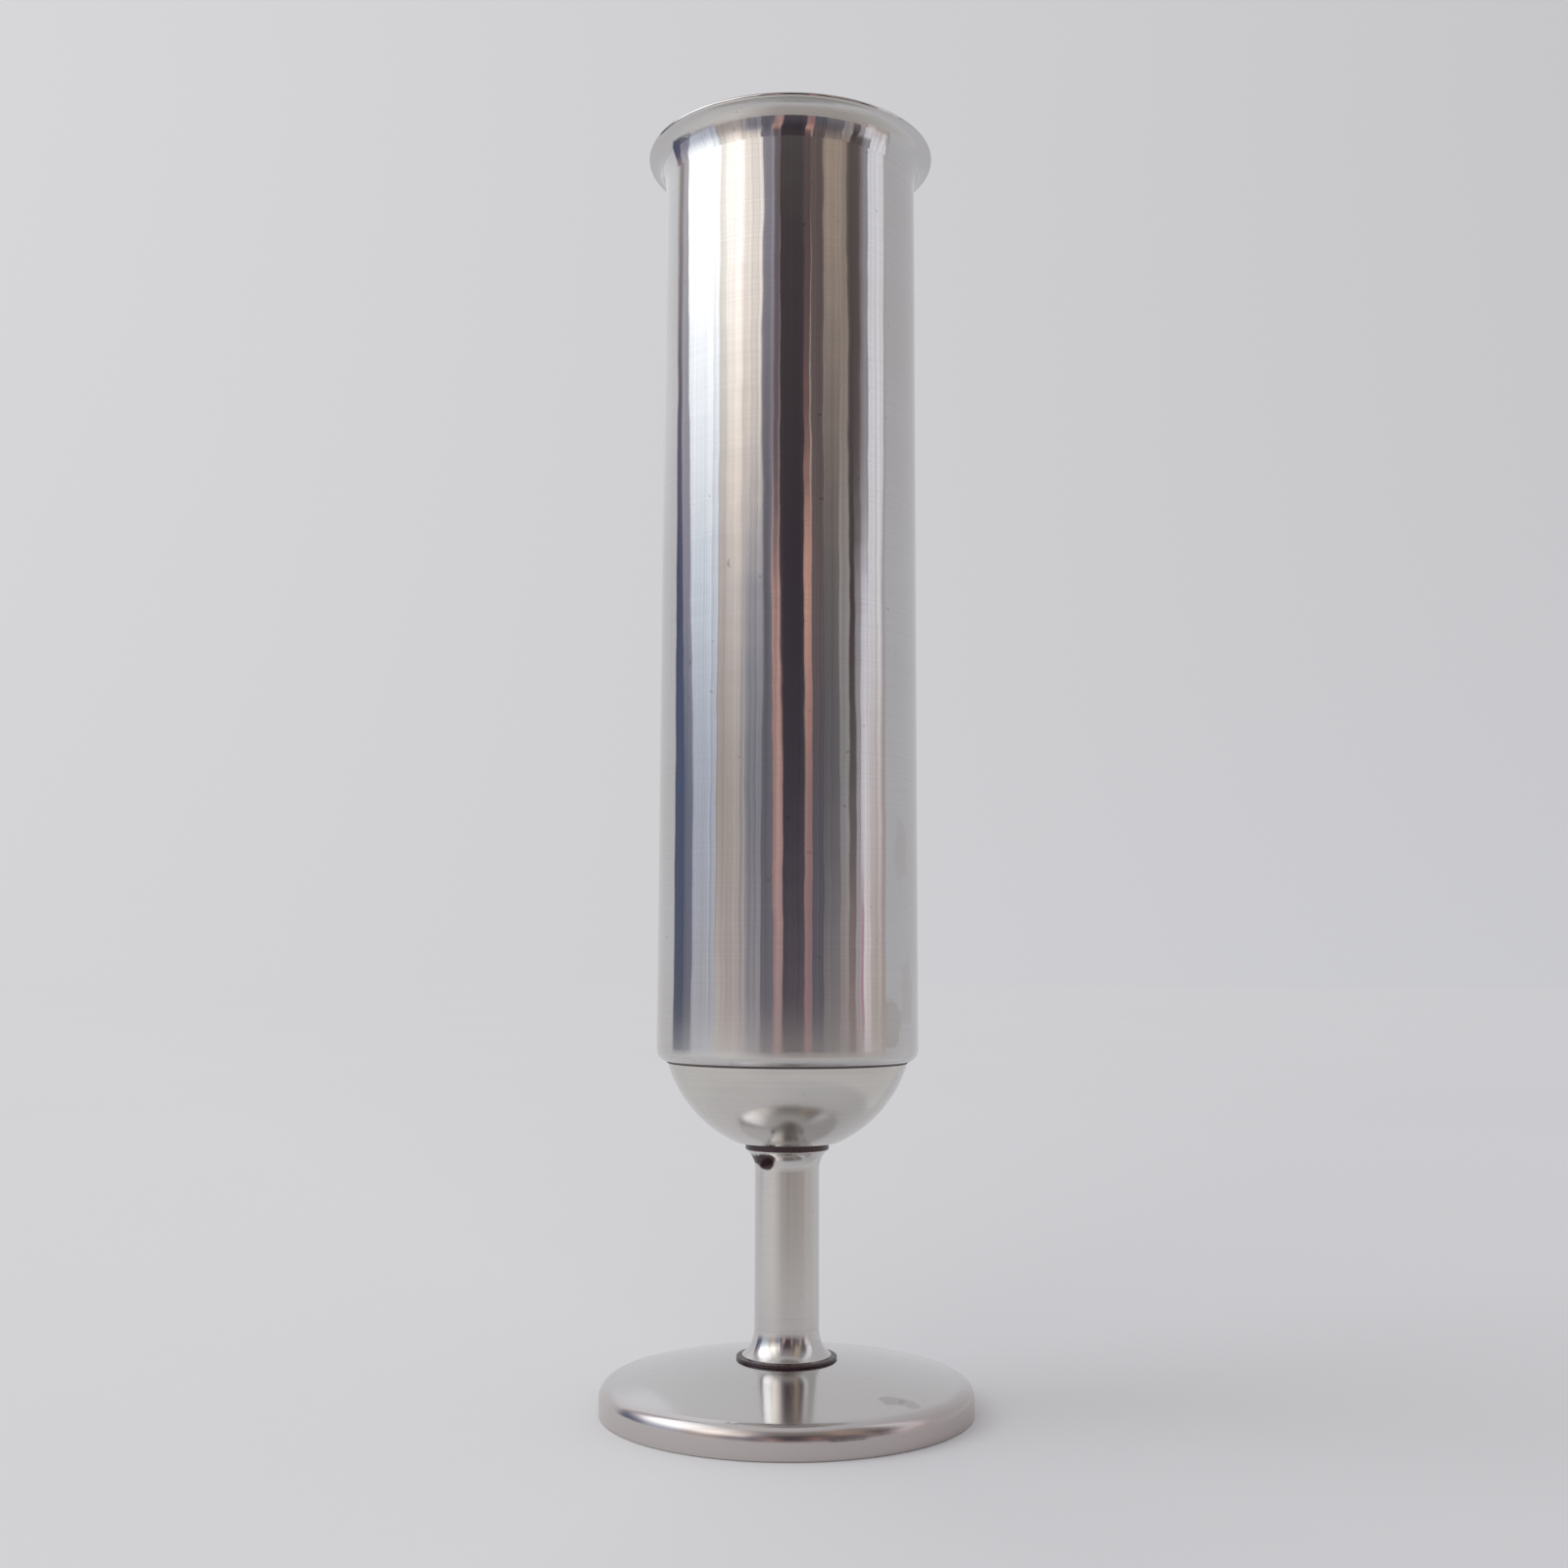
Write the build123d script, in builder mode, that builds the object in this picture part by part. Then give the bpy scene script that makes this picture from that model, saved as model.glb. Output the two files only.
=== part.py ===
from build123d import *
import math
import os

# Footed bud vase in stainless steel: a brushed tube on a round bowl, a short turned stem and a disc foot.
# Millimetres. The foot stands on z = 0, centred on the Z axis, and every piece is turned about that axis.

# ---- tube, flared at the lip and rolled in at the bottom ----
TUBE_R = 20.5
TUBE_WALL = 0.8
ROLL_START_Z = 55.26
ROLL_START_R = 4.0
ROLL_START_ANGLE = 12.0
ROLL_R = 1.8
ROLL_OUTER_ANGLE = 78.0
ROLL_INNER_ANGLE = 52.0
FLARE_START_Z = 195.0
FLARE_START_R = 9.0
FLARE_START_ANGLE = 20.0
FLARE_R = 2.92
FLARE_ANGLE = 76.0

# ---- bowl: part of a sphere, with a straight collar up inside the tube ----
BOWL_R = 19.55
BOWL_WALL = 0.8
BOWL_CENTER_Z = 58.4
BOWL_FLAT_Z = 40.55
COLLAR_TOP_Z = 64.0
COLLAR_EDGE = 0.3

# ---- sealant between the collar and the tube's bore ----
SEAL_TOP_Z = 61.0
SEAL_BOTTOM_Z = 52.7

# ---- M4 thread, the same at both ends of the stem; threads are plain cylinders ----
THREAD_R = 2.0
TAPPED_R = 2.03
CLEARANCE_R = 2.25

# ---- gaskets ----
UPPER_GASKET_R = 6.5
UPPER_GASKET_T = 1.1
LOWER_GASKET_R = 7.74
LOWER_GASKET_T = 0.5
GASKET_EDGE = 0.15

# ---- stud welded under the bowl ----
STUD_FLANGE_R = 2.7
STUD_FLANGE_T = 0.6
STUD_LENGTH = 10.5
STUD_CHAMFER = 0.4

# ---- stem ----
STEM_R = 5.0
STEM_RIM = 0.15
TOP_FLARE_R = 4.0
TOP_FLARE_ANGLE = 46.0
BOTTOM_FLARE_R = 5.0
BOTTOM_FLARE_ANGLE = 51.0
TOP_HOLE_DEPTH = 12.0
BOTTOM_HOLE_DEPTH = 12.5
DRILL_TIP = 1.2
HOLE_CHAMFER = 0.35

# ---- foot: pressed shell with a flat seat, a shallow dome and a turned-down rim ----
FOOT_R = 28.7
FOOT_WALL = 0.8
FOOT_EDGE_R = 2.3
FOOT_BOTTOM_EDGE = 0.3
SEAT_R = 8.0
SEAT_Z = 7.8
DOME_R = 150.0
DOME_START_SLOPE = 5.4

# ---- inside the foot ----
PAD_R = 27.6
PAD_T = 1.0
BALLAST_R = 26.2
BALLAST_CHAMFER = 0.6
POCKET_R = 5.2
FLAT_WASHER_R = 4.5
FLAT_WASHER_T = 0.8
SPRING_WASHER_R = 3.8
SPRING_WASHER_T = 0.9
SPRING_WASHER_GAP = 0.7
SCREW_HEAD_R = 3.5
SCREW_HEAD_H = 2.6
SCREW_LENGTH = 16.0
SCREW_SLOT_W = 1.2
SCREW_SLOT_DEPTH = 1.1
HEAD_CLEARANCE = 0.05

# ---- derived heights and centres ----
BORE_R = TUBE_R - TUBE_WALL
ROLL_START_CENTER = (TUBE_R - ROLL_START_R, ROLL_START_Z)
BOWL_CENTER = (0, BOWL_CENTER_Z)
BOWL_INNER_R = BOWL_R - BOWL_WALL
BOWL_FLOOR_Z = BOWL_FLAT_Z + BOWL_WALL
STEM_TOP_Z = BOWL_FLAT_Z - UPPER_GASKET_T
STEM_BOTTOM_Z = SEAT_Z + LOWER_GASKET_T
DOME_CENTER = (
    SEAT_R - DOME_R * math.sin(math.radians(DOME_START_SLOPE)),
    SEAT_Z - DOME_R * math.cos(math.radians(DOME_START_SLOPE)),
)
SHELL_CEILING_Z = SEAT_Z - FOOT_WALL
HEAD_BOTTOM_Z = PAD_T + HEAD_CLEARANCE
HEAD_TOP_Z = HEAD_BOTTOM_Z + SCREW_HEAD_H
SPRING_WASHER_TOP_Z = HEAD_TOP_Z + SPRING_WASHER_T
POCKET_CEILING_Z = SPRING_WASHER_TOP_Z + FLAT_WASHER_T


def on_circle(center, radius, degrees):
    """Point of a circle at an angle counted from the +r direction towards +z."""
    angle = math.radians(degrees)
    return (center[0] + radius * math.cos(angle), center[1] + radius * math.sin(angle))


def circle_z(center, radius, r):
    """Height of a circle's upper half at the distance r from the Z axis."""
    return center[1] + math.sqrt(radius**2 - (r - center[0]) ** 2)


def circle_r(center, radius, z):
    """Distance from the Z axis of a circle's right half at the height z."""
    return center[0] + math.sqrt(radius**2 - (z - center[1]) ** 2)


def circle_angle(center, radius, z):
    """Angle of the right half's point at the height z, below the centre as a negative angle."""
    return math.degrees(math.asin((z - center[1]) / radius))


os.makedirs("parts", exist_ok=True)

# ---- vase tube: straight brushed wall, full-round lip on a concave flare, lower edge rolled inwards ----
flare_start_center = (TUBE_R + FLARE_START_R, FLARE_START_Z)
flare_turn = 180 - FLARE_START_ANGLE
flare_center = on_circle(flare_start_center, FLARE_START_R - FLARE_R, flare_turn)
lip_angle = 180 - FLARE_ANGLE
lip_mid = on_circle(flare_center, FLARE_R + TUBE_WALL / 2, lip_angle)
lip_tip = on_circle(lip_mid, TUBE_WALL / 2, lip_angle - 90)
roll_center = on_circle(ROLL_START_CENTER, ROLL_START_R - ROLL_R, -ROLL_START_ANGLE)
inner_roll_turn = ROLL_START_ANGLE - ROLL_INNER_ANGLE
outer_roll_turn = ROLL_START_ANGLE - ROLL_OUTER_ANGLE
with BuildPart() as vase_tube:
    with BuildSketch(Plane.XZ):
        with BuildLine():
            Line((TUBE_R, ROLL_START_Z), (TUBE_R, FLARE_START_Z))
            CenterArc(flare_start_center, FLARE_START_R, 180, -FLARE_START_ANGLE)
            CenterArc(flare_start_center, FLARE_START_R + TUBE_WALL, 180, -FLARE_START_ANGLE)
            outer_flare = CenterArc(flare_center, FLARE_R, flare_turn, lip_angle - flare_turn)
            inner_flare = CenterArc(flare_center, FLARE_R + TUBE_WALL, flare_turn, lip_angle - flare_turn)
            ThreePointArc(outer_flare @ 1, lip_tip, inner_flare @ 1)
            Line((BORE_R, FLARE_START_Z), (BORE_R, ROLL_START_Z))
            CenterArc(ROLL_START_CENTER, ROLL_START_R - TUBE_WALL, 0, -ROLL_START_ANGLE)
            CenterArc(ROLL_START_CENTER, ROLL_START_R, 0, -ROLL_START_ANGLE)
            inner_roll = CenterArc(roll_center, ROLL_R - TUBE_WALL, -ROLL_START_ANGLE, inner_roll_turn)
            outer_roll = CenterArc(roll_center, ROLL_R, -ROLL_START_ANGLE, outer_roll_turn)
            Line(inner_roll @ 1, outer_roll @ 1)
        make_face()
    revolve(axis=Axis.Z)
vase_tube.part.label = "vase_tube"
export_step(vase_tube.part, "parts/vase_tube.step")

# ---- bowl: round bottom with a small flat for the gasket, and a collar that fits the tube ----
bowl_flat_angle = circle_angle(BOWL_CENTER, BOWL_R, BOWL_FLAT_Z)
bowl_floor_angle = circle_angle(BOWL_CENTER, BOWL_INNER_R, BOWL_FLOOR_Z)
with BuildPart() as bowl:
    with BuildSketch(Plane.XZ):
        with BuildLine():
            outer_round = CenterArc(BOWL_CENTER, BOWL_R, 0, bowl_flat_angle)
            inner_round = CenterArc(BOWL_CENTER, BOWL_INNER_R, 0, bowl_floor_angle)
            Line(outer_round @ 1, (0, BOWL_FLAT_Z))
            Line((0, BOWL_FLAT_Z), (0, BOWL_FLOOR_Z))
            Line((0, BOWL_FLOOR_Z), inner_round @ 1)
            Polyline(
                inner_round @ 0,
                (BOWL_INNER_R, COLLAR_TOP_Z - COLLAR_EDGE),
                (BOWL_INNER_R + COLLAR_EDGE, COLLAR_TOP_Z),
                (BOWL_R, COLLAR_TOP_Z),
                outer_round @ 0,
            )
        make_face()
    revolve(axis=Axis.Z)
bowl.part.label = "bowl"
export_step(bowl.part, "parts/bowl.step")

# ---- seam seal: fills the gap between the bowl and the tube, with a thin bead below the rolled edge ----
roll_edge = on_circle(roll_center, ROLL_R, -ROLL_OUTER_ANGLE)
seal_bottom_angle = circle_angle(BOWL_CENTER, BOWL_R, SEAL_BOTTOM_Z)
with BuildPart() as seam_seal:
    with BuildSketch(Plane.XZ):
        with BuildLine():
            bowl_side = CenterArc(BOWL_CENTER, BOWL_R, 0, seal_bottom_angle)
            upper_roll_side = CenterArc(ROLL_START_CENTER, ROLL_START_R - TUBE_WALL, 0, -ROLL_START_ANGLE)
            roll_side = CenterArc(roll_center, ROLL_R - TUBE_WALL, -ROLL_START_ANGLE, inner_roll_turn)
            Polyline(bowl_side @ 0, (BOWL_R, SEAL_TOP_Z), (BORE_R, SEAL_TOP_Z), upper_roll_side @ 0)
            Polyline(roll_side @ 1, roll_edge, bowl_side @ 1)
        make_face()
    revolve(axis=Axis.Z)
seam_seal.part.label = "seam_seal"
export_step(seam_seal.part, "parts/seam_seal.step")

# ---- weld stud: flange against the bowl's flat, thread down into the stem ----
with BuildPart() as weld_stud:
    with BuildSketch(Plane.XY.offset(BOWL_FLAT_Z - STUD_FLANGE_T)):
        Circle(STUD_FLANGE_R)
    extrude(amount=STUD_FLANGE_T)
    with BuildSketch(Plane.XY.offset(BOWL_FLAT_Z - STUD_FLANGE_T - STUD_LENGTH)):
        Circle(THREAD_R)
    extrude(amount=STUD_LENGTH)
    chamfer(weld_stud.edges().group_by(Axis.Z)[0], STUD_CHAMFER)
weld_stud.part.label = "weld_stud"
export_step(weld_stud.part, "parts/weld_stud.step")

# ---- upper gasket: washer between the bowl's flat and the stem ----
with BuildPart() as upper_gasket:
    with BuildSketch(Plane.XY.offset(STEM_TOP_Z)):
        Circle(UPPER_GASKET_R)
        Circle(STUD_FLANGE_R, mode=Mode.SUBTRACT)
    extrude(amount=UPPER_GASKET_T)
    fillet(upper_gasket.edges().filter_by(GeomType.CIRCLE).filter_by(lambda e: e.radius > STEM_R), GASKET_EDGE)
upper_gasket.part.label = "upper_gasket"
export_step(upper_gasket.part, "parts/upper_gasket.step")

# ---- stem: turned from bar, flared at both ends and tapped at both ends ----
bottom_flare_center = (
    STEM_R + BOTTOM_FLARE_R,
    STEM_BOTTOM_Z + STEM_RIM + BOTTOM_FLARE_R * math.sin(math.radians(BOTTOM_FLARE_ANGLE)),
)
top_flare_center = (
    STEM_R + TOP_FLARE_R,
    STEM_TOP_Z - STEM_RIM - TOP_FLARE_R * math.sin(math.radians(TOP_FLARE_ANGLE)),
)
top_hole_end = STEM_TOP_Z - TOP_HOLE_DEPTH
bottom_hole_end = STEM_BOTTOM_Z + BOTTOM_HOLE_DEPTH
with BuildPart() as stem:
    with BuildSketch(Plane.XZ):
        with BuildLine():
            lower_flare = CenterArc(bottom_flare_center, BOTTOM_FLARE_R, 180, BOTTOM_FLARE_ANGLE)
            upper_flare = CenterArc(top_flare_center, TOP_FLARE_R, 180, -TOP_FLARE_ANGLE)
            Line(lower_flare @ 0, upper_flare @ 0)
            top_rim_r = (upper_flare @ 1).X
            bottom_rim_r = (lower_flare @ 1).X
            Polyline(
                upper_flare @ 1,
                (top_rim_r, STEM_TOP_Z),
                (TAPPED_R + HOLE_CHAMFER, STEM_TOP_Z),
                (TAPPED_R, STEM_TOP_Z - HOLE_CHAMFER),
                (TAPPED_R, top_hole_end),
                (0, top_hole_end - DRILL_TIP),
                (0, bottom_hole_end + DRILL_TIP),
                (TAPPED_R, bottom_hole_end),
                (TAPPED_R, STEM_BOTTOM_Z + HOLE_CHAMFER),
                (TAPPED_R + HOLE_CHAMFER, STEM_BOTTOM_Z),
                (bottom_rim_r, STEM_BOTTOM_Z),
                lower_flare @ 1,
            )
        make_face()
    revolve(axis=Axis.Z)
stem.part.label = "stem"
export_step(stem.part, "parts/stem.step")

# ---- lower gasket: washer between the stem and the foot's seat ----
with BuildPart() as lower_gasket:
    with BuildSketch(Plane.XY.offset(SEAT_Z)):
        Circle(LOWER_GASKET_R)
        Circle(CLEARANCE_R, mode=Mode.SUBTRACT)
    extrude(amount=LOWER_GASKET_T)
    fillet(lower_gasket.edges().filter_by(GeomType.CIRCLE).filter_by(lambda e: e.radius > STEM_R), GASKET_EDGE)
lower_gasket.part.label = "lower_gasket"
export_step(lower_gasket.part, "parts/lower_gasket.step")

# ---- foot shell: flat seat in the middle, shallow dome, rounded edge and turned-down rim ----
shell_inner_r = FOOT_R - FOOT_WALL
dome_inner_r = DOME_R - FOOT_WALL
seat_inner_r = circle_r(DOME_CENTER, dome_inner_r, SHELL_CEILING_Z)
dome_end = (FOOT_R, circle_z(DOME_CENTER, DOME_R, FOOT_R))
dome_mid_r = (SEAT_R + FOOT_R) / 2
inner_dome_end = (shell_inner_r, circle_z(DOME_CENTER, dome_inner_r, shell_inner_r))
inner_dome_mid_r = (seat_inner_r + shell_inner_r) / 2
with BuildPart() as foot_shell:
    with BuildSketch(Plane.XZ) as foot_profile:
        with BuildLine():
            Line((CLEARANCE_R, SHELL_CEILING_Z), (CLEARANCE_R, SEAT_Z))
            Line((CLEARANCE_R, SEAT_Z), (SEAT_R, SEAT_Z))
            ThreePointArc((SEAT_R, SEAT_Z), (dome_mid_r, circle_z(DOME_CENTER, DOME_R, dome_mid_r)), dome_end)
            Line(dome_end, (FOOT_R, 0))
            Line((FOOT_R, 0), (shell_inner_r, 0))
            Line((shell_inner_r, 0), inner_dome_end)
            ThreePointArc(
                inner_dome_end,
                (inner_dome_mid_r, circle_z(DOME_CENTER, dome_inner_r, inner_dome_mid_r)),
                (seat_inner_r, SHELL_CEILING_Z),
            )
            Line((seat_inner_r, SHELL_CEILING_Z), (CLEARANCE_R, SHELL_CEILING_Z))
        make_face()
        fillet(foot_profile.vertices().sort_by_distance(dome_end)[0], FOOT_EDGE_R)
        fillet(foot_profile.vertices().sort_by_distance(inner_dome_end)[0], FOOT_EDGE_R - FOOT_WALL)
        fillet(foot_profile.vertices().sort_by_distance((FOOT_R, 0))[0], FOOT_BOTTOM_EDGE)
    revolve(axis=Axis.Z)
foot_shell.part.label = "foot_shell"
export_step(foot_shell.part, "parts/foot_shell.step")

# ---- foot ballast: iron disc that fills the shell, with a pocket below for the screw head ----
ballast_edge_z = circle_z(DOME_CENTER, dome_inner_r, BALLAST_R)
ballast_mid_r = (seat_inner_r + BALLAST_R) / 2
with BuildPart() as foot_ballast:
    with BuildSketch(Plane.XZ):
        with BuildLine():
            Polyline(
                (seat_inner_r, SHELL_CEILING_Z),
                (CLEARANCE_R, SHELL_CEILING_Z),
                (CLEARANCE_R, POCKET_CEILING_Z),
                (POCKET_R, POCKET_CEILING_Z),
                (POCKET_R, PAD_T),
                (BALLAST_R - BALLAST_CHAMFER, PAD_T),
                (BALLAST_R, PAD_T + BALLAST_CHAMFER),
                (BALLAST_R, ballast_edge_z),
            )
            ThreePointArc(
                (BALLAST_R, ballast_edge_z),
                (ballast_mid_r, circle_z(DOME_CENTER, dome_inner_r, ballast_mid_r)),
                (seat_inner_r, SHELL_CEILING_Z),
            )
        make_face()
    revolve(axis=Axis.Z)
foot_ballast.part.label = "foot_ballast"
export_step(foot_ballast.part, "parts/foot_ballast.step")

# ---- flat washer against the pocket's ceiling ----
with BuildPart() as flat_washer:
    with BuildSketch(Plane.XY.offset(SPRING_WASHER_TOP_Z)):
        Circle(FLAT_WASHER_R)
        Circle(CLEARANCE_R, mode=Mode.SUBTRACT)
    extrude(amount=FLAT_WASHER_T)
flat_washer.part.label = "flat_washer"
export_step(flat_washer.part, "parts/flat_washer.step")

# ---- spring washer: split ring under the screw head ----
with BuildPart() as spring_washer:
    with BuildSketch(Plane.XY.offset(HEAD_TOP_Z)):
        Circle(SPRING_WASHER_R)
        Circle(CLEARANCE_R, mode=Mode.SUBTRACT)
        with Locations((SPRING_WASHER_R, 0)):
            Rectangle(2 * SPRING_WASHER_R, SPRING_WASHER_GAP, mode=Mode.SUBTRACT)
    extrude(amount=SPRING_WASHER_T)
spring_washer.part.label = "spring_washer"
export_step(spring_washer.part, "parts/spring_washer.step")

# ---- foot screw: slotted cheese head below, shank up into the stem ----
with BuildPart() as foot_screw:
    with BuildSketch(Plane.XY.offset(HEAD_BOTTOM_Z)):
        Circle(SCREW_HEAD_R)
    extrude(amount=SCREW_HEAD_H)
    with BuildSketch(Plane.XY.offset(HEAD_TOP_Z)):
        Circle(THREAD_R)
    extrude(amount=SCREW_LENGTH)
    chamfer(foot_screw.edges().group_by(Axis.Z)[-1], STUD_CHAMFER)
    with BuildSketch(Plane.XY.offset(HEAD_BOTTOM_Z)):
        Rectangle(2 * SCREW_HEAD_R, SCREW_SLOT_W)
    extrude(amount=SCREW_SLOT_DEPTH, mode=Mode.SUBTRACT)
foot_screw.part.label = "foot_screw"
export_step(foot_screw.part, "parts/foot_screw.step")

# ---- foot pad: felt disc inside the rim, flush with its lower edge ----
with BuildPart() as foot_pad:
    with BuildSketch(Plane.XY):
        Circle(PAD_R)
    extrude(amount=PAD_T)
foot_pad.part.label = "foot_pad"
export_step(foot_pad.part, "parts/foot_pad.step")
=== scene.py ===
import math

import bpy
from mathutils import Matrix, Vector


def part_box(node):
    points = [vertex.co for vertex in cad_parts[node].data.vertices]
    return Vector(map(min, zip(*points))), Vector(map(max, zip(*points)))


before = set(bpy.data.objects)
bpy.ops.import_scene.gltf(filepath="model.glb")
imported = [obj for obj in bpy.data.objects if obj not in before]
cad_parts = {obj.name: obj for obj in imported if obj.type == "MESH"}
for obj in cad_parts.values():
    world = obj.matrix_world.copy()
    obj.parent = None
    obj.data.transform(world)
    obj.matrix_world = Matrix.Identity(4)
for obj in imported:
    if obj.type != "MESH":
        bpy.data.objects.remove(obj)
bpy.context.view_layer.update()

# ---- places read from the frame, metres ----
FLOOR_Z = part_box("foot_shell")[0].z
TUBE_BOTTOM_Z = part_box("vase_tube")[0].z
seal_lo, seal_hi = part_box("seam_seal")  # the seal fills the tube's bore down to the joint with the bowl
TUBE_R = seal_hi.x + 0.0008
TUBE_INSIDE_R = seal_hi.x + 0.0001
BOWL_INSIDE_R = seal_hi.x - 0.0008

# ---- camera, at the angle that the vase is seen from ----
CAMERA_DISTANCE = 0.2723
CAMERA_HEIGHT = 0.0663
CAMERA_LENS = 39.4
CAMERA_PITCH = math.radians(6.37)
CAMERA_YAW = math.radians(0.145)
CAMERA_ROLL = math.radians(0.19)


def make_camera():
    data = bpy.data.cameras.new("camera")
    data.lens = CAMERA_LENS
    data.sensor_width = 36.0
    data.clip_start = 0.01
    data.clip_end = 20.0
    camera = bpy.data.objects.new("camera", data)
    camera.location = (0.0, -CAMERA_DISTANCE, FLOOR_Z + CAMERA_HEIGHT)
    look = (
        Matrix.Rotation(CAMERA_YAW, 4, "Z")
        @ Matrix.Rotation(math.pi / 2 + CAMERA_PITCH, 4, "X")
        @ Matrix.Rotation(CAMERA_ROLL, 4, "Z")
    )
    camera.rotation_euler = look.to_euler()
    bpy.context.scene.collection.objects.link(camera)
    bpy.context.scene.camera = camera
    return camera


# ---- node helpers ----
def new_material(name):
    material = bpy.data.materials.new(name)
    material.use_nodes = True
    tree = material.node_tree
    tree.nodes.clear()
    output = tree.nodes.new("ShaderNodeOutputMaterial")
    return material, tree, output


def node(tree, kind, **settings):
    made = tree.nodes.new(kind)
    for key, value in settings.items():
        setattr(made, key, value)
    return made


def link(tree, source, target):
    tree.links.new(source, target)


def math_node(tree, operation, a, b=None):
    made = node(tree, "ShaderNodeMath", operation=operation)
    for socket, value in zip(made.inputs, (a, b)):
        if value is None:
            continue
        if isinstance(value, (int, float)):
            socket.default_value = value
        else:
            link(tree, value, socket)
    return made.outputs[0]


def noise(tree, vector, scale, detail=2.0, roughness=0.5):
    made = node(tree, "ShaderNodeTexNoise")
    made.inputs["Scale"].default_value = scale
    made.inputs["Detail"].default_value = detail
    made.inputs["Roughness"].default_value = roughness
    link(tree, vector, made.inputs["Vector"])
    return made.outputs["Fac"]


def scaled(tree, vector, scale):
    made = node(tree, "ShaderNodeMapping")
    made.inputs["Scale"].default_value = scale
    link(tree, vector, made.inputs["Vector"])
    return made.outputs[0]


def remap(tree, value, low, high, to_low, to_high):
    made = node(tree, "ShaderNodeMapRange")
    made.inputs["From Min"].default_value = low
    made.inputs["From Max"].default_value = high
    made.inputs["To Min"].default_value = to_low
    made.inputs["To Max"].default_value = to_high
    link(tree, value, made.inputs["Value"])
    return made.outputs["Result"]


def mix_colour(tree, factor, a, b):
    made = node(tree, "ShaderNodeMix", data_type="RGBA")
    for socket, value in ((made.inputs[0], factor), (made.inputs[6], a), (made.inputs[7], b)):
        if isinstance(value, (tuple, int, float)):
            socket.default_value = value
        else:
            link(tree, value, socket)
    return made.outputs[2]


def vector_node(tree, operation, vector, other=None):
    made = node(tree, "ShaderNodeVectorMath", operation=operation)
    link(tree, vector, made.inputs[0])
    if other is not None:
        made.inputs[1].default_value = other
    return made.outputs["Value" if operation == "LENGTH" else "Vector"]


def axis_of(tree, vector, axis):
    made = node(tree, "ShaderNodeSeparateXYZ")
    link(tree, vector, made.inputs[0])
    return made.outputs[axis]


def add_bump(tree, shader, height, distance):
    bump = node(tree, "ShaderNodeBump")
    bump.inputs["Distance"].default_value = distance
    link(tree, height, bump.inputs["Height"])
    link(tree, bump.outputs[0], shader.inputs["Normal"])


def ring_tangent(tree):
    """Direction round the Z axis, the way a piece turns against the brush."""
    return node(tree, "ShaderNodeTangent", direction_type="RADIAL", axis="Z").outputs[0]


def spot(tree, place, ragged, centre, radii):
    """1 inside a ragged ellipsoid round a place on the piece, 0 outside it."""
    offset = vector_node(tree, "SUBTRACT", place, centre)
    reach = vector_node(tree, "LENGTH", vector_node(tree, "DIVIDE", offset, radii))
    return remap(tree, math_node(tree, "ADD", reach, ragged), 0.85, 1.15, 1.0, 0.0)


def across_tone(tree, vector, left, right, reach=0.45):
    """A tone that changes a little from the left to the right."""
    return mix_colour(tree, remap(tree, axis_of(tree, vector, "X"), -reach, reach, 0.0, 1.0), left, right)


def hollow(tree, place, height, radius, lowest):
    """1 nearer to the Z axis than a radius and above a lowest height, 0 elsewhere."""
    from_axis = vector_node(tree, "LENGTH", vector_node(tree, "MULTIPLY", place, (1.0, 1.0, 0.0)))
    inside = remap(tree, from_axis, radius, radius + HOLLOW_EDGE, 1.0, 0.0)
    return math_node(tree, "MULTIPLY", inside, remap(tree, height, lowest, lowest + HOLLOW_FADE, 0.0, 1.0))


def shade(colour, red, green, blue):
    return (colour[0] * red, colour[1] * green, colour[2] * blue, 1.0)


# ---- steel ----
SPECK = (0.30, 0.27, 0.25, 1.0)
RING_SCALE, BLOTCH_SCALE, SPECK_SCALE, RAGGED_SCALE, SWELL_SCALE = 9.0, 34.0, 620.0, 420.0, 70.0
WALL_BLEND = 0.0012
HOLLOW_EDGE, HOLLOW_FADE = 0.0002, 0.0010
# how much rougher the foot's wall, the tube's lower end, the insides and the marks are
WALL_ROUGHNESS, HAZE_ROUGHNESS, BORE_ROUGHNESS, MARK_ROUGHNESS = 0.10, 0.17, 0.36, 0.25


def rougher(tree, rough, mask, amount):
    return math_node(tree, "ADD", rough, math_node(tree, "MULTIPLY", mask, amount))


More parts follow.
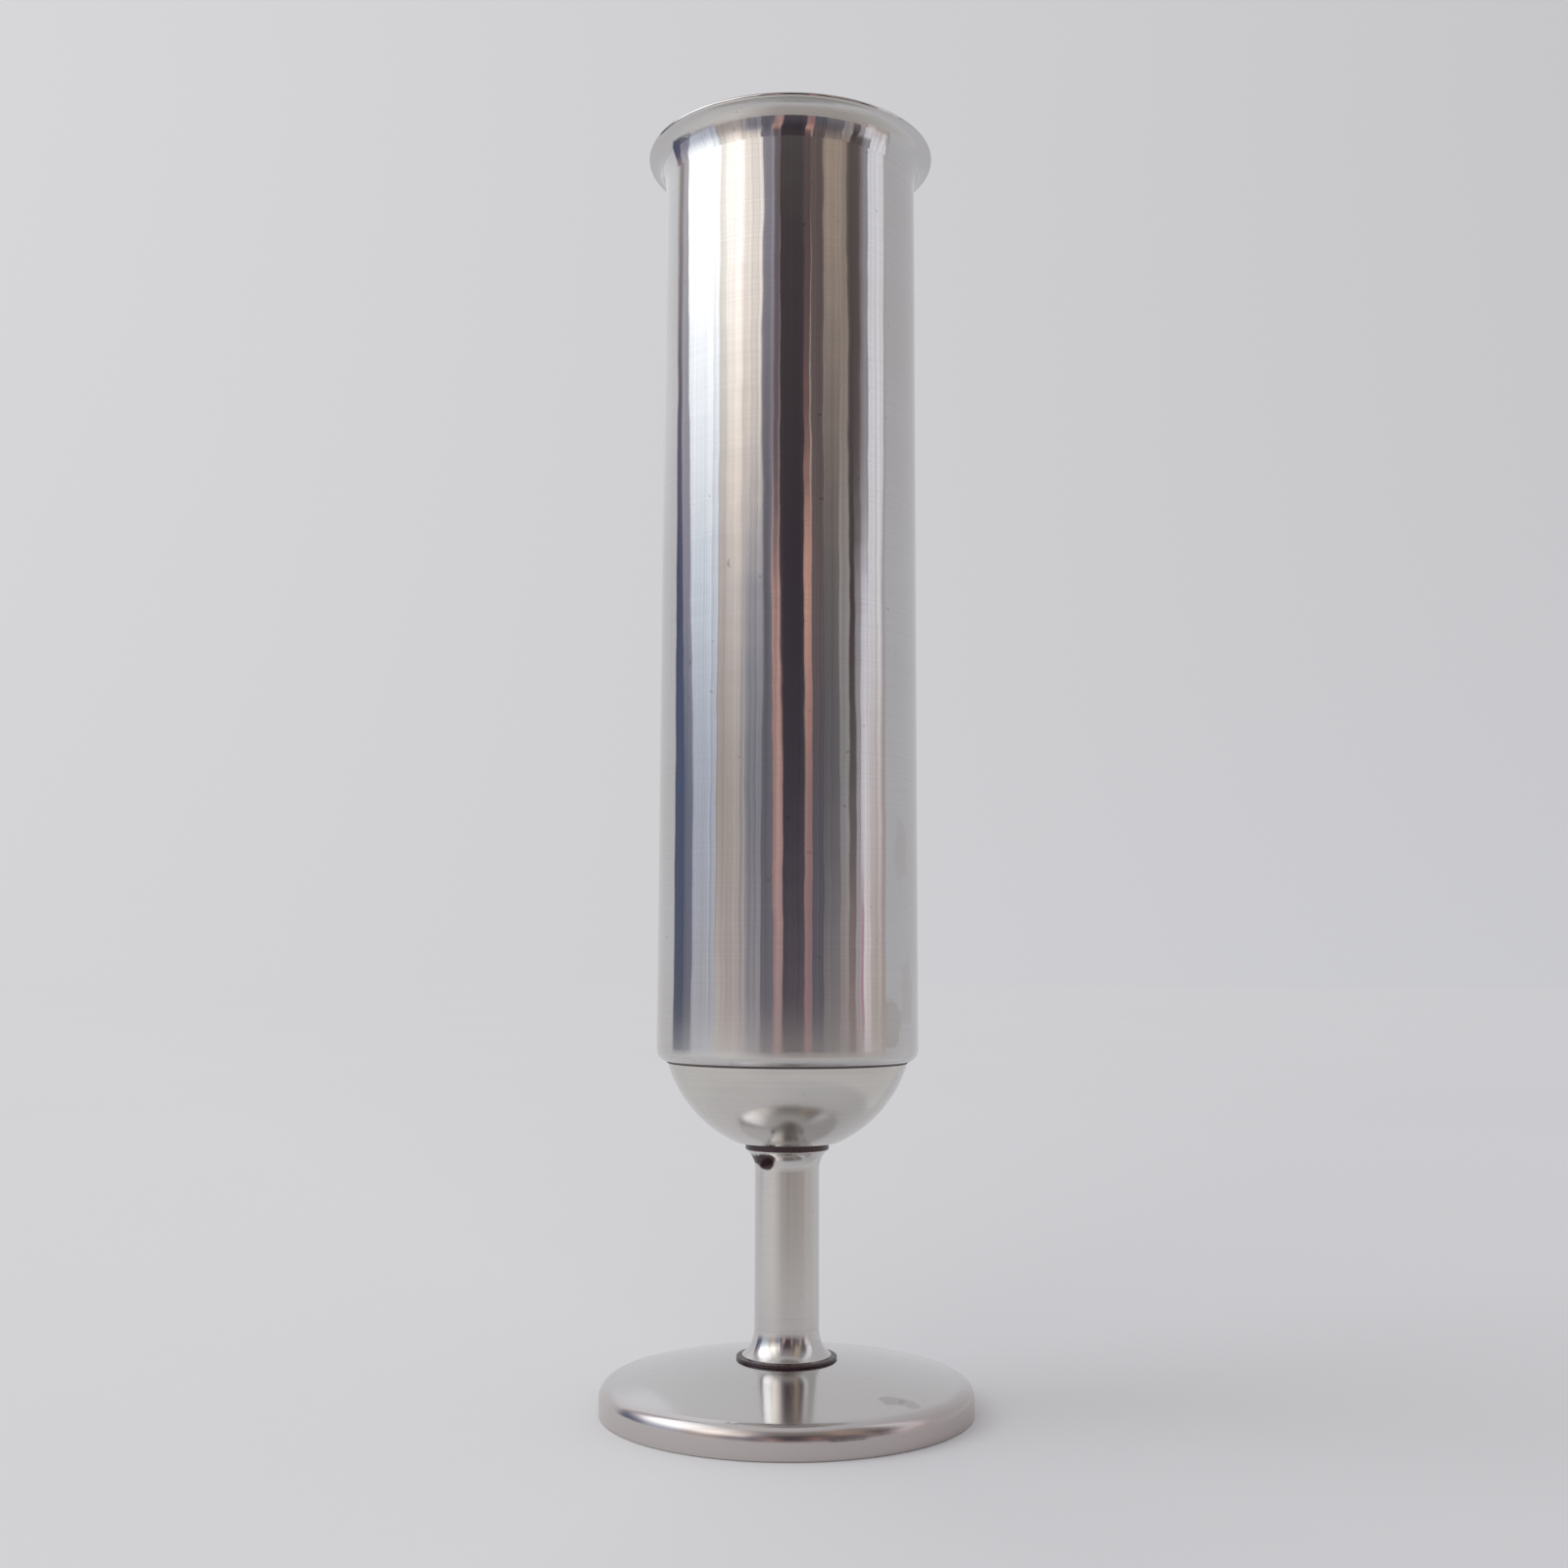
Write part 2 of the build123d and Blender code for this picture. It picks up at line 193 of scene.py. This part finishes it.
def steel(name, colour, roughness, anisotropic=0.0, line_height=0.001, wear=0.5, wave=0.0, marks=(),
          wall_top=None, haze=None, bore=None):
    """Stainless steel worked round the Z axis: fine rings, soft blotches, slight waves and local marks.

    A mark is a centre, radii, a colour and how strongly it covers. Below wall_top the steel is rougher, and painted
    shade makes it duller and warmer, darker towards the right. A haze is the heights between which the steel gets
    rougher towards the first one. A bore is the radius and the lowest height of an inside that was left duller.
    """
    material, tree, output = new_material(name)
    shader = node(tree, "ShaderNodeBsdfPrincipled")
    shader.inputs["Metallic"].default_value = 1.0
    place = node(tree, "ShaderNodeTexCoord").outputs["Object"]
    height = axis_of(tree, place, "Z")

    lines = noise(tree, scaled(tree, place, (RING_SCALE, RING_SCALE, 1.0 / line_height)), 1.0, 2.0, 0.6)
    blotches = noise(tree, place, BLOTCH_SCALE, 3.0, 0.55)
    specks = noise(tree, place, SPECK_SCALE)
    tone = mix_colour(tree, remap(tree, blotches, 0.35, 0.7, 0.0, wear), colour, shade(colour, 0.93, 0.92, 0.90))
    tone = mix_colour(tree, remap(tree, lines, 0.3, 0.75, 0.0, 0.5 * wear), tone, shade(colour, 0.85, 0.85, 0.86))
    tone = mix_colour(tree, remap(tree, specks, 0.72, 0.80, 0.0, 0.5), tone, SPECK)
    rough = math_node(
        tree,
        "ADD",
        remap(tree, blotches, 0.3, 0.75, roughness * 0.85, roughness * 1.2),
        remap(tree, lines, 0.3, 0.7, -0.15 * roughness, 0.15 * roughness),
    )

    if wall_top is not None:
        wall = remap(tree, height, wall_top - WALL_BLEND, wall_top, 1.0, 0.0)
        # painted shade: below wall_top the steel is darker and warmer, and darker still towards the right
        wall_painted_shade = across_tone(tree, place, shade(colour, 0.92, 0.87, 0.86), shade(colour, 0.79, 0.72, 0.70), 0.022)
        tone = mix_colour(tree, wall, tone, wall_painted_shade)
        rough = rougher(tree, rough, wall, WALL_ROUGHNESS)
    if haze is not None:
        fade = math_node(tree, "POWER", remap(tree, height, *haze, 1.0, 0.0), 2.0)
        rough = rougher(tree, rough, fade, HAZE_ROUGHNESS)
    if bore is not None:
        rough = rougher(tree, rough, hollow(tree, place, height, *bore), BORE_ROUGHNESS)
    ragged = remap(tree, noise(tree, place, RAGGED_SCALE), 0.3, 0.7, -0.3, 0.3)
    for centre, radii, mark_colour, cover in marks:
        mask = math_node(tree, "MULTIPLY", spot(tree, place, ragged, centre, radii), cover)
        tone = mix_colour(tree, mask, tone, mark_colour)
        rough = rougher(tree, rough, mask, MARK_ROUGHNESS)

    link(tree, tone, shader.inputs["Base Color"])
    link(tree, rough, shader.inputs["Roughness"])
    if anisotropic:
        # a quarter turn from the rings, so that the brushing blurs reflections upright
        shader.inputs["Anisotropic"].default_value = anisotropic
        shader.inputs["Anisotropic Rotation"].default_value = 0.25
        link(tree, ring_tangent(tree), shader.inputs["Tangent"])
    if wave:
        add_bump(tree, shader, noise(tree, place, SWELL_SCALE), wave)
    link(tree, shader.outputs[0], output.inputs["Surface"])
    return material


def dull(name, colour, roughness, grain, fleck=1.9, metallic=0.0, relief=0.0):
    """Rubber, felt or raw iron: a grain of lighter flecks with an uneven roughness."""
    material, tree, output = new_material(name)
    shader = node(tree, "ShaderNodeBsdfPrincipled")
    shader.inputs["Metallic"].default_value = metallic
    place = node(tree, "ShaderNodeTexCoord").outputs["Object"]
    mottle = noise(tree, place, 1.0 / grain, 3.0, 0.6)
    patches = noise(tree, place, 0.12 / grain)
    light = shade(colour, fleck, fleck, fleck)
    cover = math_node(tree, "MULTIPLY", mottle, remap(tree, patches, 0.3, 0.7, 0.5, 1.0))
    link(tree, mix_colour(tree, cover, colour, light), shader.inputs["Base Color"])
    link(tree, remap(tree, mottle, 0.3, 0.7, roughness - 0.08, roughness + 0.08), shader.inputs["Roughness"])
    if relief:
        add_bump(tree, shader, mottle, relief)
    link(tree, shader.outputs[0], output.inputs["Surface"])
    return material


def set_material(name, material):
    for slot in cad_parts[name].material_slots:
        slot.material = material


# ---- studio: floor, backdrop light and what the steel reflects ----
FLOOR_RADIUS, FLOOR_SIDES = 12.0, 64
# tones of the backdrop at the horizon and high up, and of the floor's paper, whose darker right side is painted shade
HORIZON_LEFT = (1.035, 1.03, 1.06, 1.0)
HORIZON_RIGHT = (0.915, 0.92, 0.965, 1.0)
HIGH_LEFT = (1.075, 1.075, 1.095, 1.0)
HIGH_RIGHT = (0.885, 0.87, 0.90, 1.0)
HIGH_FROM = 0.45
PAPER_LEFT = (1.0, 0.995, 0.99, 1.0)
PAPER_SHADED_RIGHT = (0.915, 0.912, 0.922, 1.0)
BACKDROP_STRENGTH = 0.64
PAPER_ALBEDO = 0.917
SUN_COLOUR = (0.95, 0.98, 1.04)
SUN_ENERGY = 0.40
SUN_SOFTNESS = math.radians(38)
SUN_FROM = (-0.80, -0.10, 0.90)

# ---- sizes and streaks of the reflected sheets ----
CARD_DISTANCE = 1.35
CARD_COLUMNS = 6
BROAD_STREAKS, FINE_STREAKS, PLAIN_STREAKS = 0.14, 0.13, 0.03
BROAD_SCALE, FINE_SCALE = (14.0, 14.0, 0.5), (50.0, 50.0, 0.7)
APRON_FROM, APRON_TO, APRON_LIFT = 0.48, 0.80, 0.0010
FRONT_LIFT, FRONT_COLUMNS = 0.0005, 40
FRONT_PALE = (0.66, 0.66, 0.67)
# degrees from the camera's side and the floor's tone there, as the stem and the undersides show it; the lighter tones
# are painted light and the darker ones painted shade on the floor
FRONT_TONES = (
    (-130, FRONT_PALE), (-100, (0.73, 0.73, 0.74)), (-50, (0.80, 0.78, 0.77)), (-30, (0.64, 0.61, 0.59)),
    (-12, (0.49, 0.455, 0.435)), (48, (0.465, 0.435, 0.415)), (78, (0.53, 0.51, 0.49)), (105, (0.60, 0.59, 0.59)),
    (130, FRONT_PALE),
)
# reach from the axis and how much of that tone is there
FRONT_RINGS = ((0.065, 0.0), (0.120, 0.6), (0.200, 1.0), (0.600, 1.0), (0.900, 0.0))


def paper(name):
    """Pale paper with faint clouds, a little darker to the right with painted shade."""
    material, tree, output = new_material(name)
    shader = node(tree, "ShaderNodeBsdfPrincipled")
    shader.inputs["Roughness"].default_value = 0.9
    shader.inputs["Specular IOR Level"].default_value = 0.0
    place = node(tree, "ShaderNodeTexCoord").outputs["Object"]
    # painted shade: the paper darker towards the right
    tone = across_tone(tree, vector_node(tree, "NORMALIZE", place), PAPER_LEFT, PAPER_SHADED_RIGHT)
    cloud = remap(tree, noise(tree, place, 2.5, 3.0, 0.5), 0.3, 0.7, PAPER_ALBEDO * 0.994, PAPER_ALBEDO * 1.006)
    scale = node(tree, "ShaderNodeVectorMath", operation="SCALE")
    link(tree, tone, scale.inputs[0])
    link(tree, cloud, scale.inputs["Scale"])
    link(tree, scale.outputs[0], shader.inputs["Base Color"])
    link(tree, shader.outputs[0], output.inputs["Surface"])
    return material


def glow(name, broad_depth, fine_depth):
    """Light of a reflected wall, window or floor: its own tone, broken into soft upright streaks."""
    material, tree, output = new_material(name)
    shader = node(tree, "ShaderNodeEmission")
    tone = node(tree, "ShaderNodeAttribute", attribute_name="tone").outputs["Color"]
    place = node(tree, "ShaderNodeTexCoord").outputs["Object"]
    broad = noise(tree, scaled(tree, place, BROAD_SCALE), 1.0, 3.0, 0.6)
    fine = noise(tree, scaled(tree, place, FINE_SCALE), 1.0)
    strength = math_node(
        tree,
        "MULTIPLY",
        remap(tree, broad, 0.3, 0.7, 1.0 - broad_depth, 1.0 + broad_depth),
        remap(tree, fine, 0.38, 0.60, 1.0 - fine_depth, 1.0 + fine_depth),
    )
    link(tree, tone, shader.inputs["Color"])
    link(tree, strength, shader.inputs["Strength"])
    link(tree, shader.outputs[0], output.inputs["Surface"])
    return material


def mesh_object(name, vertices, faces, material):
    mesh = bpy.data.meshes.new(name)
    mesh.from_pydata(vertices, [], faces)
    mesh.update()
    made = bpy.data.objects.new(name, mesh)
    made.data.materials.append(material)
    bpy.context.scene.collection.objects.link(made)
    return made


def floor_disc():
    turns = [2 * math.pi * k / FLOOR_SIDES for k in range(FLOOR_SIDES)]
    vertices = [(FLOOR_RADIUS * math.cos(turn), FLOOR_RADIUS * math.sin(turn), FLOOR_Z) for turn in turns]
    return mesh_object("floor", vertices, [tuple(range(FLOOR_SIDES))], paper("paper"))


def reflected_sheet(name, vertices, tones, columns, material):
    """A sheet of rows of vertices with a tone each, seen only in reflections."""
    across = columns + 1
    faces = []
    for row in range(len(vertices) // across - 1):
        for column in range(columns):
            first = row * across + column
            faces.append((first, first + 1, first + across + 1, first + across))
    made = mesh_object(name, vertices, faces, material)
    made.data.attributes.new("tone", "FLOAT_COLOR", "POINT").data.foreach_set("color", tones)
    made.visible_camera = False
    made.visible_diffuse = False
    made.visible_shadow = False
    return made


def on_circle(reach, degrees, height):
    """A place by reach from the axis, degrees from the camera's side and height above the floor."""
    turn = math.radians(degrees)
    return (reach * math.sin(turn), -reach * math.cos(turn), FLOOR_Z + height)


def blend(a, b, part):
    return tuple(low + (high - low) * part for low, high in zip(a, b))


def front_tone(degrees):
    """Tone of the floor in front of the vase in one direction, with its painted light and shade."""
    for (start, tone), (end, next_tone) in zip(FRONT_TONES, FRONT_TONES[1:]):
        if start <= degrees <= end:
            return blend(tone, next_tone, (degrees - start) / (end - start))
    return FRONT_PALE


def card(name, stops, material, apron=True):
    """An upright card curved round the vase, mostly with an apron on the floor, seen only in reflections.

    Each stop is a height, the degrees from and to (0 is the camera's side) and a tone.
    """
    _, left, right, low_tone = stops[0]
    # the apron's near row takes the floor's painted light and shade in front
    near_floor_light_and_shade = front_tone((left + right) / 2)
    rows = [(CARD_DISTANCE, *stop) for stop in stops]
    if apron:
        rows[:0] = [(APRON_FROM, APRON_LIFT, left, right, near_floor_light_and_shade), (APRON_TO, APRON_LIFT, left, right, low_tone)]
    vertices, tones = [], []
    for reach, height, left, right, tone in rows:
        for column in range(CARD_COLUMNS + 1):
            vertices.append(on_circle(reach, left + (right - left) * column / CARD_COLUMNS, height))
            tones += [*tone, 1.0]
    return reflected_sheet(name, vertices, tones, CARD_COLUMNS, material)


# heights of the stops, metres above the floor
SKIRT, KNEE, LOW, SILL = 0.0, 0.136, 0.180, 0.243
POST_END, MID, RAIL_END, FADE, RAIL_FADE = 0.418, 0.428, 0.462, 0.507, 0.551
HIGH, TOP, CROWN, BLIND_TOP, WINDOW_TOP, UP = 0.616, 0.810, 1.35, 1.352, 1.501, 2.70

CARDS = {
    "dark_post": (
        (SKIRT, -117.5, -103, (0.12, 0.13, 0.18)), (SILL, -118, -103, (0.100, 0.130, 0.225)),
        (MID, -120, -109, (0.100, 0.115, 0.195)), (HIGH, -121, -114, (0.20, 0.17, 0.23)),
        (TOP, -122, -114, (0.42, 0.37, 0.37)), (UP, -124, -117, (0.35, 0.33, 0.34)),
    ),
    "post_side": (
        (SKIRT, -103, -92, (0.19, 0.20, 0.25)), (SILL, -103, -91.5, (0.19, 0.205, 0.29)),
        (MID, -109, -97, (0.38, 0.37, 0.46)), (HIGH, -114, -102, (0.48, 0.47, 0.54)),
        (TOP, -114, -106, (0.61, 0.60, 0.65)), (UP, -117, -112, (0.50, 0.49, 0.53)),
    ),
    "window": (
        (SKIRT, -92, -66, (0.54, 0.53, 0.58)), (SILL, -91.5, -66, (0.53, 0.58, 0.70)),
        (MID, -97, -65, (0.80, 0.87, 0.99)), (HIGH, -102, -65, (1.30, 1.38, 1.48)),
        (TOP, -106, -65, (2.0, 2.05, 2.1)), (WINDOW_TOP, -109, -65, (1.7, 1.7, 1.75)),
        (UP, -112, -65, (0.95, 0.96, 0.97)),
    ),
    "frame": (
        (SKIRT, -66, -57, (0.62, 0.58, 0.56)), (SILL, -66, -57, (0.44, 0.38, 0.36)),
        (MID, -65, -57, (0.61, 0.55, 0.53)), (HIGH, -65, -57, (0.93, 0.89, 0.85)),
        (TOP, -65, -59, (1.40, 1.35, 1.25)), (BLIND_TOP, -65, -60, (1.3, 1.25, 1.2)),
        (UP, -65, -60, (0.60, 0.58, 0.57)),
    ),
    "blind": (
        (SKIRT, -57, -43, (0.57, 0.50, 0.49)), (SILL, -57, -42.5, (0.51, 0.46, 0.43)),
        (MID, -57, -40.5, (0.75, 0.69, 0.67)), (HIGH, -57, -42, (1.34, 1.22, 1.12)),
        (TOP, -59, -41, (1.80, 1.75, 1.68)), (BLIND_TOP, -60, -41, (1.5, 1.45, 1.4)),
        (UP, -60, -41, (0.60, 0.58, 0.57)),
    ),
    "slat": (
        (SKIRT, -43, -37, (0.50, 0.45, 0.47)), (SILL, -42.5, -38, (0.42, 0.39, 0.41)),
        (MID, -40.5, -38, (0.50, 0.47, 0.50)), (HIGH, -42, -38, (1.00, 0.84, 0.74)),
        (TOP, -41, -38, (1.30, 1.20, 1.10)), (BLIND_TOP, -41, -38, (0.9, 0.85, 0.8)),
        (UP, -41, -38, (0.45, 0.43, 0.42)),
    ),
    "curtain": (
        (SKIRT, -37, -24, (0.40, 0.37, 0.40)), (SILL, -38, -22.5, (0.265, 0.265, 0.315)),
        (MID, -38, -21.5, (0.40, 0.40, 0.45)), (HIGH, -38, -25, (1.05, 0.96, 0.90)),
        (TOP, -38, -24, (1.27, 1.19, 1.12)), (BLIND_TOP, -38, -24, (0.8, 0.76, 0.72)),
        (UP, -38, -24, (0.40, 0.38, 0.37)),
    ),
    "curtain_edge": (
        (SKIRT, -24, -12.5, (0.19, 0.18, 0.215)), (SILL, -22.5, -13, (0.160, 0.155, 0.19)),
        (MID, -21.5, -15.3, (0.180, 0.172, 0.208)), (HIGH, -25, -14, (0.26, 0.24, 0.28)),
        (TOP, -24, -14, (0.40, 0.38, 0.45)), (CROWN, -24, -14, (0.36, 0.34, 0.37)),
        (UP, -24, -14, (0.36, 0.35, 0.36)),
    ),
    "red_post": (
        (SKIRT, -12.5, -4.5, (0.41, 0.30, 0.32)), (SILL, -13, -4.8, (0.56, 0.35, 0.32)),
        (POST_END, -15.3, -8.4, (0.62, 0.38, 0.34)), (FADE, -14, -9, (0.17, 0.13, 0.16)),
        (CROWN, -14, -9, (0.30, 0.28, 0.28)), (UP, -14, -9, (0.34, 0.33, 0.33)),
    ),
    "room": (
        (SKIRT, -4.5, 14, (0.13, 0.11, 0.135)), (SILL, -4.8, 14.5, (0.062, 0.053, 0.07)),
        (MID, -8.4, 13.0, (0.054, 0.043, 0.057)), (TOP, -9, 12, (0.075, 0.063, 0.066)),
        (CROWN, -9, 12, (0.28, 0.26, 0.26)), (UP, -9, 12, (0.34, 0.33, 0.33)),
    ),
    "red_rail": (
        (SKIRT, 14, 20.5, (0.36, 0.22, 0.25)), (SILL, 14.6, 20.6, (0.37, 0.225, 0.215)),
        (RAIL_END, 13.0, 19.8, (0.78, 0.44, 0.345)), (RAIL_FADE, 12, 18, (0.20, 0.12, 0.12)),
        (TOP, 12, 18, (0.11, 0.08, 0.08)), (CROWN, 12, 18, (0.28, 0.26, 0.26)),
        (UP, 12, 18, (0.34, 0.33, 0.33)),
    ),
    "shelf": (
        (SKIRT, 20.5, 31, (0.15, 0.14, 0.17)), (SILL, 20.5, 31, (0.13, 0.12, 0.145)),
        (MID, 19.8, 31, (0.17, 0.135, 0.138)), (TOP, 18, 30, (0.15, 0.115, 0.11)),
        (CROWN, 18, 30, (0.28, 0.26, 0.26)), (UP, 18, 30, (0.34, 0.33, 0.33)),
    ),
    "beige_wall": (
        (SKIRT, 31, 46, (0.30, 0.27, 0.28)), (SILL, 31, 46, (0.150, 0.146, 0.165)),
        (MID, 31, 44, (0.172, 0.156, 0.162)), (HIGH, 31, 46, (0.28, 0.23, 0.21)),
        (TOP, 30, 50, (0.46, 0.37, 0.31)), (UP, 30, 50, (0.46, 0.37, 0.31)),
    ),
    "door_frame": (
        (SKIRT, 46, 54, (0.40, 0.33, 0.33)), (SILL, 46, 54.5, (0.34, 0.33, 0.345)),
        (MID, 44, 54.8, (0.365, 0.345, 0.34)), (HIGH, 46, 53, (0.40, 0.34, 0.30)),
        (TOP, 50, 52, (0.40, 0.33, 0.28)), (UP, 50, 52, (0.40, 0.33, 0.28)),
    ),
    "door_shade": (
        (SKIRT, 54, 60, (0.37, 0.29, 0.29)), (SILL, 54.5, 62, (0.135, 0.118, 0.122)),
        (MID, 54.8, 59.6, (0.080, 0.060, 0.065)), (HIGH, 53, 58.5, (0.115, 0.09, 0.095)),
        (TOP, 52, 58.5, (0.13, 0.105, 0.10)), (CROWN, 52, 58.5, (0.30, 0.28, 0.27)),
        (UP, 52, 58.5, (0.34, 0.33, 0.33)),
    ),
    "door": (
        (SKIRT, 60, 65, (0.50, 0.41, 0.43)), (SILL, 62, 66, (0.42, 0.41, 0.45)),
        (MID, 59.6, 66, (0.38, 0.35, 0.37)), (FADE, 58.5, 66, (0.13, 0.11, 0.11)),
        (TOP, 58.5, 66, (0.13, 0.105, 0.10)), (CROWN, 58.5, 66, (0.30, 0.28, 0.28)),
        (UP, 58.5, 66, (0.36, 0.35, 0.35)),
    ),
    "red_line": (
        (SKIRT, 66, 69, (0.50, 0.28, 0.34)), (KNEE, 66, 69, (0.50, 0.32, 0.38)),
        (LOW, 66, 69, (0.80, 0.78, 0.83)), (MID, 66, 69, (0.76, 0.74, 0.82)),
        (FADE, 66, 69, (0.30, 0.26, 0.28)), (UP, 66, 69, (0.28, 0.25, 0.24)),
    ),
    "cupboard_edge": (
        (SKIRT, 69, 77, (0.80, 0.70, 0.71)), (SILL, 69, 75, (0.78, 0.75, 0.80)),
        (MID, 69, 74.5, (0.75, 0.75, 0.82)), (FADE, 69, 74.5, (0.32, 0.31, 0.34)),
        (UP, 69, 74.5, (0.32, 0.32, 0.33)),
    ),
    "cupboard": (
        (SKIRT, 77, 90, (0.56, 0.49, 0.45)), (SILL, 75, 90, (0.73, 0.66, 0.67)),
        (MID, 74.5, 90, (0.88, 0.87, 0.91)), (HIGH, 74.5, 93, (0.92, 0.92, 0.98)),
        (TOP, 74.5, 94, (0.90, 0.90, 0.95)), (UP, 74.5, 94, (0.85, 0.85, 0.90)),
    ),
    "corner": (
        (SKIRT, 90, 93.5, (0.50, 0.45, 0.43)), (SILL, 90, 94, (0.48, 0.42, 0.43)),
        (MID, 90, 94, (0.50, 0.49, 0.52)), (HIGH, 93, 97, (0.56, 0.54, 0.56)),
        (UP, 94, 98, (0.62, 0.60, 0.64)),
    ),
}

# the pale wall behind the left end of the cards, brighter higher up
LEFT_WALL = (
    (SILL, -168, -118, (0.655, 0.652, 0.672)), (MID, -168, -120, (0.672, 0.670, 0.690)),
    (HIGH, -168, -122, (0.780, 0.780, 0.810)), (TOP, -168, -126, (0.805, 0.805, 0.835)),
    (UP, -168, -128, (0.805, 0.805, 0.835)),
)


def front_floor(material):
    """A glowing sheet for the floor in front of the vase, past the picture's lower edge, seen only in reflections;
    its tones are painted light and shade.
    """
    vertices, tones = [], []
    first, last = FRONT_TONES[0][0], FRONT_TONES[-1][0]
    for reach, weight in FRONT_RINGS:
        for column in range(FRONT_COLUMNS + 1):
            degrees = first + (last - first) * column / FRONT_COLUMNS
            vertices.append(on_circle(reach, degrees, FRONT_LIFT))
            # painted light and shade of the floor in front, fading to the plain paper tone at the inner and outer
            # rings
            tones += [*blend(FRONT_PALE, front_tone(degrees), weight), 1.0]
    return reflected_sheet("front_floor", vertices, tones, FRONT_COLUMNS, material)


def backdrop_tone(tree, vector):
    """Pale paper, lighter high up on the left."""
    low = across_tone(tree, vector, HORIZON_LEFT, HORIZON_RIGHT)
    high = across_tone(tree, vector, HIGH_LEFT, HIGH_RIGHT)
    return mix_colour(tree, remap(tree, axis_of(tree, vector, "Z"), 0.0, HIGH_FROM, 0.0, 1.0), low, high)


def make_world():
    world = bpy.data.worlds.new("backdrop")
    world.use_nodes = True
    tree = world.node_tree
    direction = node(tree, "ShaderNodeTexCoord").outputs["Generated"]
    background = tree.nodes["Background"]
    link(tree, backdrop_tone(tree, direction), background.inputs["Color"])
    background.inputs["Strength"].default_value = BACKDROP_STRENGTH
    bpy.context.scene.world = world


def make_sun():
    """Soft daylight from the window's side."""
    light = bpy.data.lights.new("daylight", "SUN")
    light.energy = SUN_ENERGY
    light.angle = SUN_SOFTNESS
    light.color = SUN_COLOUR
    made = bpy.data.objects.new("daylight", light)
    made.rotation_euler = Vector(SUN_FROM).to_track_quat("Z", "Y").to_euler()
    made.visible_glossy = False
    bpy.context.scene.collection.objects.link(made)
    return made


# ---- marks ----
RUST = (0.045, 0.022, 0.026, 1.0)
DULL_MARK = (0.36, 0.34, 0.33, 1.0)
WATER = (0.52, 0.49, 0.46, 1.0)


def round_mark(radius, degrees, height, across, tall, depth, colour, cover):
    """A mark on a round surface, placed by degrees from the camera's side and height above the floor."""
    return on_circle(radius, degrees, height), (across, depth, tall), colour, cover


# radius, degrees, height, half sizes across, up and into the wall, colour and cover
stem_marks = (
    round_mark(0.0058, -43, 0.0381, 0.0025, 0.0010, 0.003, RUST, 0.95),
    round_mark(0.0053, -35, 0.0375, 0.0012, 0.0009, 0.003, RUST, 0.95),
)
tube_marks = (
    round_mark(TUBE_R, 49, 0.0590, 0.0019, 0.0034, 0.004, WATER, 0.60),
    round_mark(TUBE_R, 62, 0.0640, 0.0010, 0.0050, 0.004, WATER, 0.40),
    round_mark(TUBE_R, 57, 0.0850, 0.0010, 0.0050, 0.004, WATER, 0.35),
)
foot_marks = (
    ((0.0152, -0.0176, 0.0072), (0.0018, 0.0020, 0.004), DULL_MARK, 0.46),
    ((0.0176, -0.0176, 0.0070), (0.0015, 0.0015, 0.004), DULL_MARK, 0.38),
)

# ---- materials ----
materials = {
    "vase_tube": steel(
        "tube_steel", (0.66, 0.65, 0.645, 1.0), roughness=0.09, anisotropic=0.94, line_height=0.00035, wear=1.0,
        wave=0.00010, marks=tube_marks, haze=(TUBE_BOTTOM_Z, TUBE_BOTTOM_Z + 0.012),
        bore=(TUBE_INSIDE_R, TUBE_BOTTOM_Z + 0.004),
    ),
    "bowl": steel(
        "bowl_steel", (0.67, 0.65, 0.625, 1.0), roughness=0.19, anisotropic=0.3, line_height=0.0006, wear=0.9,
        wave=0.00004, bore=(BOWL_INSIDE_R, seal_lo.z),
    ),
    "stem": steel(
        "stem_steel", (0.67, 0.655, 0.64, 1.0), roughness=0.16, anisotropic=0.9, line_height=0.0004, wear=0.7,
        marks=stem_marks,
    ),
    "foot_shell": steel(
        "foot_steel", (0.68, 0.67, 0.665, 1.0), roughness=0.12, line_height=0.002, wear=0.4, marks=foot_marks,
        # below this height the foot's wall gets painted shade
        wall_top=FLOOR_Z + 0.0050,
    ),
    "foot_screw": steel("screw_steel", (0.56, 0.55, 0.53, 1.0), roughness=0.24, line_height=0.0004, wear=1.0),
    "upper_gasket": dull("gasket_rubber", (0.036, 0.017, 0.021, 1.0), roughness=0.30, grain=0.0011),
    "seam_seal": dull("sealant_dark", (0.075, 0.062, 0.062, 1.0), roughness=0.60, grain=0.0011),
    "foot_ballast": dull(
        "ballast_iron", (0.10, 0.095, 0.09, 1.0), roughness=0.55, grain=0.0015, fleck=1.7, metallic=0.8, relief=0.0001
    ),
    "foot_pad": dull("pad_felt", (0.045, 0.043, 0.047, 1.0), roughness=0.92, grain=0.0006, fleck=3.0, relief=0.0003),
}
materials["lower_gasket"] = materials["upper_gasket"]
materials["weld_stud"] = materials["flat_washer"] = materials["spring_washer"] = materials["foot_screw"]
for name, material in materials.items():
    set_material(name, material)

# ---- camera, light and stage ----
make_camera()
make_world()
stage = [floor_disc()]
room_glow = glow("room_glow", BROAD_STREAKS, FINE_STREAKS)
for name, stops in CARDS.items():
    stage.append(card(name, stops, room_glow))
plain_glow = glow("plain_glow", PLAIN_STREAKS, 0.0)
stage.append(card("left_wall", LEFT_WALL, plain_glow, apron=False))
stage.append(front_floor(plain_glow))
stage.append(make_sun())

bpy.context.scene.view_settings.view_transform = "Standard"
